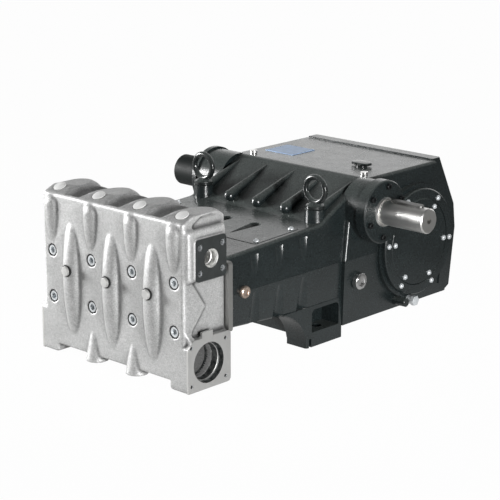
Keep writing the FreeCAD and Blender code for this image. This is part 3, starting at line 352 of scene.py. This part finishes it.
def black_paint(name="black_paint", base=(0.009, 0.0125, 0.013), roughness=(0.21, 0.30)):
    """Satin black paint over a casting: orange peel, fine specks, pale dust and painted light from
    above on what faces up.
    """
    paint = Paint(name).set(IOR=1.5, Coat_Weight=0.15, Coat_Roughness=0.3)
    tone = paint.ramp(paint.noise(11), (0.3, 0.75), (base, toned(base, 1.5)))
    # Pale dust and painted light from above, growing as the surface faces up
    dust_and_top_light = paint.mix(paint.upward((0.15, 1.0)), tone, DUST_AND_TOP_LIGHT)
    specks = paint.ramp(paint.noise(520, rough=0.75), (0.36, 0.64), (0.45, 1.55))
    rough = paint.ramp(paint.noise(45, detail=4), (0.25, 0.75), roughness)
    peel = paint.bump(paint.noise(420), strength=0.34, distance=0.0005)
    normal = paint.bump(paint.noise(30, rough=0.5), strength=0.10, distance=0.002, after=peel)
    paint.use(Base_Color=paint.multiply(dust_and_top_light, specks), Roughness=rough, Normal=normal)
    return paint.material


def bright_metal(name, tone, roughness, stretch=(1, 40, 40), scratch=0.25):
    """Machined steel with fine tool marks across its length."""
    paint = Paint(name).set(Metallic=1.0)
    marks = paint.noise(160, stretch=stretch)
    colour = paint.ramp(paint.noise(24), (0.3, 0.7), (toned(tone, 0.88), tone))
    rough = paint.ramp(marks, (0.3, 0.7), (roughness, roughness + 0.14))
    normal = paint.bump(marks, strength=scratch, distance=0.0002)
    paint.use(Base_Color=colour, Roughness=rough, Normal=normal)
    return paint.material


def dull_solid(name, colour, roughness, metallic=0.0, ior=1.5):
    """A small part's own colour with a slight grain and cloudiness."""
    paint = Paint(name).set(Metallic=metallic, IOR=ior)
    tint = paint.ramp(paint.noise(70), (0.3, 0.7), (toned(colour, 0.8), colour))
    grain = paint.noise(300, detail=2, rough=0.5)
    rough = paint.ramp(grain, (0.3, 0.7), (roughness, roughness + 0.12))
    normal = paint.bump(paint.noise(600, detail=2, rough=0.5), strength=0.15, distance=0.0002)
    paint.use(Base_Color=tint, Roughness=rough, Normal=normal)
    return paint.material


def mottled(name, dark, light):
    """A rough cast bore, half wet and half dry, in blots a few millimetres wide."""
    paint = Paint(name).set(Metallic=0.5)
    colour = paint.ramp(paint.noise(110, detail=4, rough=0.7), (0.38, 0.68), (dark, light))
    rough = paint.ramp(paint.noise(160), (0.3, 0.7), (0.3, 0.6))
    normal = paint.bump(paint.noise(240), strength=0.4, distance=0.001)
    paint.use(Base_Color=colour, Roughness=rough, Normal=normal)
    return paint.material


def dress(material, *names):
    """Give CAD nodes a material."""
    for name in names:
        for slot in NODES[name].material_slots:
            slot.material = material


SILVER = cast_silver()
BLACK = black_paint()
GLOSS_BLACK = black_paint("black_gloss", (0.010, 0.012, 0.012), (0.16, 0.24))
DULL_BLACK = dull_solid("dull_black_paint", (0.009, 0.012, 0.012), 0.50, ior=1.28)
# Painted shade for the gaps round the head's screws and plugs
GAP_SHADE = dull_solid("painted_gap_shade", (0.006, 0.007, 0.007), 0.7)
BORE = mottled("cast_bore", (0.020, 0.023, 0.023), (0.20, 0.21, 0.205))
DARK_FACE = dull_solid("dark_machined_face", (0.060, 0.066, 0.066), 0.34, metallic=0.6)
FACE = bright_metal("machined_face", (0.62, 0.62, 0.61), 0.46, (60, 60, 60), 0.15)
BARE = bright_metal("bare_spot_face", (0.90, 0.90, 0.88), 0.45, (60, 60, 60), 0.15)
STEEL = bright_metal("bright_steel", (0.93, 0.92, 0.90), 0.28)
PLATE = bright_metal("plate_steel", (0.40, 0.40, 0.39), 0.42, (30, 30, 1))
BOLT_BLACK = dull_solid("black_bolt", (0.030, 0.032, 0.033), 0.30, metallic=0.7)
PLUG = dull_solid("plug_steel", (0.62, 0.62, 0.61), 0.38, metallic=0.4)
SPOT = dull_solid("spot_face", (0.88, 0.88, 0.87), 0.45, metallic=0.1)
KEY = dull_solid("key_steel", (0.20, 0.20, 0.195), 0.40, metallic=0.9)
ZINC = dull_solid("zinc_bolt", (0.74, 0.77, 0.79), 0.30, metallic=0.40)
BRASS = dull_solid("brass_plug", (0.62, 0.50, 0.42), 0.30, metallic=0.9)
BLUE = dull_solid("blue_enamel", (0.40, 0.56, 0.82), 0.35)
CHROME = dull_solid("chrome_ring", (0.78, 0.78, 0.78), 0.16, metallic=1.0)

dress(SILVER, "manifold_head")
dress(PLATE, "packing_plate")
dress(STEEL, "drive_shaft", "shaft_seal_ring", "top_plug_left", "top_plug_right")
dress(KEY, "shaft_key")
dress(PLUG, "front_plug_1", "front_plug_2", "front_plug_3")
dress(
    BLACK, "crankcase", "crosshead_hatch", "rear_cover", "drain_elbow",
    "front_foot_left", "front_foot_right", "rear_foot_left", "rear_foot_right",
    "shaft_bearing_cover", "left_bearing_cover",
    "crank_bearing_ring_left", "crank_bearing_ring_right",
    "crank_end_cover_left", "crank_end_cover_right",
)
dress(DULL_BLACK, "shaft_end_cap")
dress(GLOSS_BLACK, "lifting_eye_left", "lifting_eye_right")
dress(ZINC, "drain_plug")
dress(BRASS, "guide_plug_left", "guide_plug_right")
dress(BLUE, "nameplate")
dress(CHROME, "oil_sight_glass")


def smooth(thing, degrees):
    """Shade smooth except across sharp edges."""
    mesh = thing.data
    for face in mesh.polygons:
        face.use_smooth = True
    mesh.set_sharp_from_angle(angle=math.radians(degrees))


def aim(thing, direction):
    """Point a camera or a light, both of which look along their own -Z."""
    thing.rotation_mode = "QUATERNION"
    thing.rotation_quaternion = direction.to_track_quat("-Z", "Y")


def add_camera():
    """The photograph's own view."""
    data = bpy.data.cameras.new("photo_camera")
    data.lens = CAMERA_LENS
    data.sensor_width = SENSOR_WIDTH
    data.clip_start, data.clip_end = CLIP_NEAR, CLIP_FAR
    camera = bpy.data.objects.new("photo_camera", data)
    bpy.context.scene.collection.objects.link(camera)
    camera.location = CAMERA_PLACE
    aim(camera, Vector((
        -math.sin(CAMERA_AZIMUTH) * math.cos(CAMERA_ELEVATION),
        math.cos(CAMERA_AZIMUTH) * math.cos(CAMERA_ELEVATION),
        -math.sin(CAMERA_ELEVATION),
    )))
    bpy.context.scene.camera = camera


def add_light(name, place, target, size, watts):
    """An upright rectangular soft light with a narrowed beam."""
    data = bpy.data.lights.new(name, "AREA")
    data.shape = "RECTANGLE"
    data.size, data.size_y = size
    data.energy = watts
    data.spread = BEAM_SPREAD
    lamp = bpy.data.objects.new(name, data)
    bpy.context.scene.collection.objects.link(lamp)
    lamp.location = place
    aim(lamp, Vector(target) - Vector(place))


def add_world():
    """White to the camera, soft grey-white surroundings to everything else."""
    world = bpy.data.worlds.new("studio")
    bpy.context.scene.world = world
    world.use_nodes = True
    world.node_tree.nodes.clear()
    sky = Nodes(world.node_tree)
    seen = sky.node("ShaderNodeBackground")
    seen.inputs["Color"].default_value = rgba(1.0)
    split = sky.node("ShaderNodeSeparateXYZ")
    sky.link(sky.node("ShaderNodeTexCoord").outputs["Generated"], split.inputs[0])
    around = sky.node("ShaderNodeBackground")
    sky.link(sky.multiply(
        sky.ramp(split.outputs["X"], *LEFT_TO_RIGHT),
        sky.ramp(split.outputs["Y"], *FRONT_TO_BACK),
        sky.ramp(split.outputs["Z"], *FLOOR_TO_CEILING),
    ), around.inputs["Color"])
    output = sky.node("ShaderNodeOutputWorld")
    sky.link(
        sky.blend(sky.to_camera(), around.outputs[0], seen.outputs[0]), output.inputs["Surface"]
    )


def add_floor():
    """A plain pale floor that stays white to the camera but takes a faint shadow."""
    mesh = bpy.data.meshes.new("floor")
    signs = ((-1, -1), (1, -1), (1, 1), (-1, 1))
    corners = [(x * FLOOR_REACH, y * FLOOR_REACH, 0) for x, y in signs]
    mesh.from_pydata(corners, [], [(0, 1, 2, 3)])
    floor = bpy.data.objects.new("floor", mesh)
    bpy.context.scene.collection.objects.link(floor)
    floor.location.z = -FLOOR_DEPTH
    paint = Paint("pale_floor").set(
        Base_Color=FLOOR_TONE, Roughness=0.9, Emission_Strength=FLOOR_GLOW
    )
    distance = paint.node("ShaderNodeVectorMath", operation="LENGTH")
    paint.link(paint.place(), distance.inputs[0])
    paint.use(Emission_Color=paint.ramp(distance.outputs["Value"], GLOW_FADE, (1.0, 0.0)))
    share = paint.node("ShaderNodeMath", operation="MULTIPLY")
    paint.link(paint.to_camera(), share.inputs[0])
    share.inputs[1].default_value = FLOOR_WHITE
    white = paint.node("ShaderNodeEmission")
    paint.link(
        paint.blend(share.outputs[0], paint.shader.outputs[0], white.outputs[0]),
        paint.output.inputs["Surface"],
    )
    mesh.materials.append(paint.material)


def new_piece(name, bm, material, body="pump"):
    """A new object from a finished mesh, shaded and fixed to its body."""
    bmesh.ops.recalc_face_normals(bm, faces=bm.faces)
    mesh = bpy.data.meshes.new(name)
    bm.to_mesh(mesh)
    bm.free()
    thing = bpy.data.objects.new(name, mesh)
    bpy.context.scene.collection.objects.link(thing)
    mesh.materials.append(material)
    smooth(thing, PIECE_EDGE)
    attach(thing, body)
    return thing


def facing(place, towards):
    """A frame at a place in millimetres whose Z axis points one way."""
    turn = Vector(towards).to_track_quat("Z", "Y").to_matrix().to_4x4()
    return Matrix.Translation(Vector(place) * MM) @ turn


def six_sided(radius, angle):
    """How far a hexagon of a given half-width across flats reaches at an angle."""
    within = (angle % (math.pi / 3)) - math.pi / 6
    return radius / math.cos(within)


def skin(bm, rows, closed=True):
    """Faces between rings of vertices, and over both ends if closed."""
    count = len(rows[0])
    for low, high in zip(rows, rows[1:]):
        for k in range(count):
            bm.faces.new((low[k], low[(k + 1) % count], high[(k + 1) % count], high[k]))
    if closed:
        bm.faces.new(rows[0][::-1])
        bm.faces.new(rows[-1])


def stack(bm, frame_at, rings, count=TURNED_STEPS, closed=True):
    """A turned form from its rings, six-sided where they say so."""
    rows = []
    for radius, height, *hexagon in rings:
        row = []
        for k in range(count):
            angle = 2 * math.pi * k / count
            reach = six_sided(radius, angle) if hexagon else radius
            spot = Vector((reach * math.cos(angle), reach * math.sin(angle), height)) * MM
            row.append(bm.verts.new(frame_at @ spot))
        rows.append(row)
    skin(bm, rows, closed)


def turned(name, places, towards, rings, material, count=TURNED_STEPS, closed=True):
    """One piece of equal turned forms, one at each place."""
    bm = bmesh.new()
    for place in places:
        stack(bm, facing(place, towards), rings, count, closed)
    new_piece(name, bm, material)


def lining(name, places, towards, rings, material):
    """The open inner wall of round holes."""
    turned(name, places, towards, rings, material, FINE_STEPS, closed=False)


def cap_screw(radius, height, socket):
    """Rings of a cap screw's head: straight sides, bevelled rim, hexagon socket.

    The bare numbers here and below are shares of the screw's own sizes.
    """
    bevel = 0.08 * radius
    return [
        (radius, SUNK), (radius, height - bevel), (radius - bevel, height), (socket * 1.12, height),
        (socket, height - SOCKET_CHAMFER, HEXAGON), (socket, 0.42 * height, HEXAGON),
        (0.3 * socket, 0.36 * height),
    ]


def dome_screw(radius, height):
    """Rings of a low round screw head with a small hexagon socket."""
    return [
        (radius, SUNK), (radius, 0.25 * height), (0.85 * radius, 0.7 * height),
        (0.6 * radius, height), (0.42 * radius, height), (0.36 * radius, 0.8 * height, HEXAGON),
        (0.36 * radius, 0.3 * height, HEXAGON), (0.1 * radius, 0.25 * height),
    ]


def circle(centre, radius, count, first=0.0):
    """Places on a circle, the first one at an angle in degrees."""
    angles = [math.radians(first) + 2 * math.pi * k / count for k in range(count)]
    return [
        (centre[0] + radius * math.cos(angle), centre[1] + radius * math.sin(angle))
        for angle in angles
    ]


def four_about(centre, reach):
    """The corners of an upright rectangle about a centre."""
    return [
        (centre[0] + dy * reach[0], centre[1] + dz * reach[1]) for dy in (-1, 1) for dz in (-1, 1)
    ]


def rounded_outline(corners):
    """A closed outline from (y, z, radius) corners, each one rounded by a curve."""
    outline = []
    count = len(corners)
    for i, (y, z, radius) in enumerate(corners):
        here = Vector((y, z))
        before = Vector(corners[i - 1][:2]) - here
        after = Vector(corners[(i + 1) % count][:2]) - here
        back = radius / math.tan(before.angle(after) / 2)
        start = here + before.normalized() * back
        end = here + after.normalized() * back
        for k in range(CORNER_STEPS + 1):
            t = k / CORNER_STEPS
            outline.append(tuple((1 - t) ** 2 * start + 2 * t * (1 - t) * here + t ** 2 * end))
    return outline


def port_plate(name, side, port, material):
    """The flat machined plate of a port, with its bore and tapped holes through it."""
    x_low, x_high = sorted((side * port["plate_inside"], side * PLATE_OUTSIDE))
    loops = [rounded_outline(port["outline"]), circle(port["centre"], *port["bore"])]
    for spot in four_about(port["centre"], port["threads"]):
        loops.append(circle(spot, *port["tapped_hole"]))
    bm = bmesh.new()
    edges = []
    for loop in loops:
        ring = [bm.verts.new((x_low * MM, y * MM, z * MM)) for y, z in loop]
        edges += [bm.edges.new((ring[k], ring[(k + 1) % len(ring)])) for k in range(len(ring))]
    bmesh.ops.triangle_fill(bm, use_beauty=True, edges=edges)
    raised = bmesh.ops.extrude_face_region(bm, geom=list(bm.faces))
    moved = [vertex for vertex in raised["geom"] if isinstance(vertex, bmesh.types.BMVert)]
    bmesh.ops.translate(bm, verts=moved, vec=((x_high - x_low) * MM, 0, 0))
    new_piece(name, bm, material)


def add_head_pieces():
    """Screws, rings of painted shade round the screws and plugs, and machined port faces of the
    head.
    """
    seats = [(x, SCREW_SEAT, z) for x in COLUMNS for z in SCREW_ROWS]
    turned("head_screws", seats, FRONT, cap_screw(radius=9.2, height=12, socket=5), ZINC)
    # Dark rings in the screw recesses and round the plugs: painted shade in the gaps
    rims = [(x, HEAD_FRONT, z) for x in COLUMNS for z in SCREW_ROWS]
    turned("head_screw_shade_rings", rims, FRONT, SCREW_RING, GAP_SHADE, closed=False)
    plugs = [(x, PLUG_FRONT, PLUG_HEIGHT) for x in (-COLUMN_PITCH, 0, COLUMN_PITCH)]
    turned("plug_shade_rings", plugs, FRONT, PLUG_RING, GAP_SHADE, closed=False)
    spots = [(x, *SPOT_PLACE) for x in COLUMNS]
    turned("spot_faces", spots, (0, -math.sin(SPOT_LEAN), math.cos(SPOT_LEAN)), SPOT_FACE, SPOT)
    for side, word in SIDES:
        port_plate(f"discharge_face_{word}", side, DISCHARGE, DARK_FACE)
        port_plate(f"suction_face_{word}", side, SUCTION, FACE)


def add_port_linings():
    """Bare metal in the bores and tapped holes of the port faces."""
    for side, word in SIDES:
        out = (side, 0, 0)
        low = [(side * PORT_FACE, *SUCTION["centre"])]
        high = [(side * PORT_FACE, *DISCHARGE["centre"])]
        lining(f"suction_recess_{word}", low, out, SUCTION_RECESS, BORE)
        lining(f"suction_step_{word}", low, out, SUCTION_STEP, BORE)
        lining(f"suction_seat_{word}", low, out, SUCTION_SEAT, FACE)
        lining(f"suction_wall_{word}", low, out, SUCTION_WALL, BORE)
        lining(f"discharge_seat_{word}", high, out, DISCHARGE_SEAT, BARE)
        for name, port, rings in (
            ("suction_threads", SUCTION, SUCTION_THREAD),
            ("discharge_threads", DISCHARGE, DISCHARGE_THREAD),
        ):
            corners = four_about(port["centre"], port["threads"])
            places = [(side * PORT_FACE, *corner) for corner in corners]
            lining(f"{name}_{word}", places, out, rings, ZINC)


def add_case_pieces():
    """Screws of the covers, and what shows of the small fittings."""
    for side, word in SIDES:
        out = (side, 0, 0)
        places = [
            (side * CRANK_COVER_FACE, *spot) for radius in CRANK_SCREW_CIRCLES
            for spot in circle(CRANK_CENTRE, radius, 6, CRANK_SCREW_START)
        ]
        turned(f"crank_cover_screws_{word}", places, out, dome_screw(radius=5.2, height=3.6), ZINC)
        places = [
            (side * SHAFT_COVER_FACE[word], *spot)
            for spot in circle(SHAFT_CENTRE, SHAFT_SCREW_CIRCLE, 6, SHAFT_SCREW_START)
        ]
        screw = cap_screw(radius=5.5, height=5, socket=2.6)
        turned(f"bearing_cover_screws_{word}", places, out, screw, BOLT_BLACK)
        places = [(side * GUIDE_PLUG_FACE, *GUIDE_PLUG_CENTRE)]
        turned(f"guide_plug_face_{word}", places, out, GUIDE_PLUG, BRASS)
    places = [
        (x, y, DECK_REAR[1] + (y - DECK_REAR[0]) * math.tan(DECK_CLIMB) + HATCH_SCREW_LIFT)
        for x in (-HATCH_SCREW_SIDE, HATCH_SCREW_SIDE) for y in HATCH_SCREW_ROWS
    ]
    up = (0, -math.sin(DECK_CLIMB), math.cos(DECK_CLIMB))
    turned("hatch_screws", places, up, dome_screw(radius=5.4, height=3.4), ZINC)
    turned("sight_glass_nut", [SIGHT_GLASS_PLACE], RIGHT, SIGHT_NUT, CHROME, closed=False)
    turned("drain_plug_head", [DRAIN_PLUG_PLACE], RIGHT, DRAIN_HEAD, ZINC)


def add_filler_cap():
    """The breather's low cap: a round foot under two broad lobes."""
    cad = NODES["filler_cap"]
    box = [cad.matrix_world @ Vector(corner) for corner in cad.bound_box]
    low = Vector([min(corner[i] for corner in box) for i in range(3)]) / MM
    high = Vector([max(corner[i] for corner in box) for i in range(3)]) / MM
    x, y = (low.x + high.x) / 2, (low.y + high.y) / 2
    bm = bmesh.new()
    stack(bm, facing((x, y, low.z), (0, 0, 1)), CAP_FOOT)
    rows = []
    for share, height in LOBE_RINGS:
        row = []
        for k in range(FINE_STEPS):
            angle = 2 * math.pi * k / FINE_STEPS
            reach = share * (LOBE_WAIST + LOBE_GROWTH * math.cos(angle) ** 2)
            spot = (x + reach * math.cos(angle), y + reach * math.sin(angle), low.z + height)
            row.append(bm.verts.new(Vector(spot) * MM))
        rows.append(row)
    skin(bm, rows)
    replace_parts(new_piece("filler_lobe_cap", bm, GLOSS_BLACK), "filler_cap")


def soften_head():
    """Cast roundness: the head's body is remeshed finely and smoothed."""
    head = NODES["manifold_head"]
    cast = head.modifiers.new("cast_skin", "REMESH")
    cast.mode = "VOXEL"
    cast.voxel_size = SKIN_SIZE
    cast.use_smooth_shade = True
    soft = head.modifiers.new("cast_rounding", "SMOOTH")
    soft.factor = SKIN_FACTOR
    soft.iterations = SKIN_PASSES


for thing in NODES.values():
    smooth(thing, CAD_EDGE)

soften_head()
add_head_pieces()
add_port_linings()
add_case_pieces()
add_filler_cap()
add_camera()
add_world()
add_floor()
for light in LIGHTS:
    add_light(*light)
scene = bpy.context.scene
scene.view_settings.view_transform = "Standard"
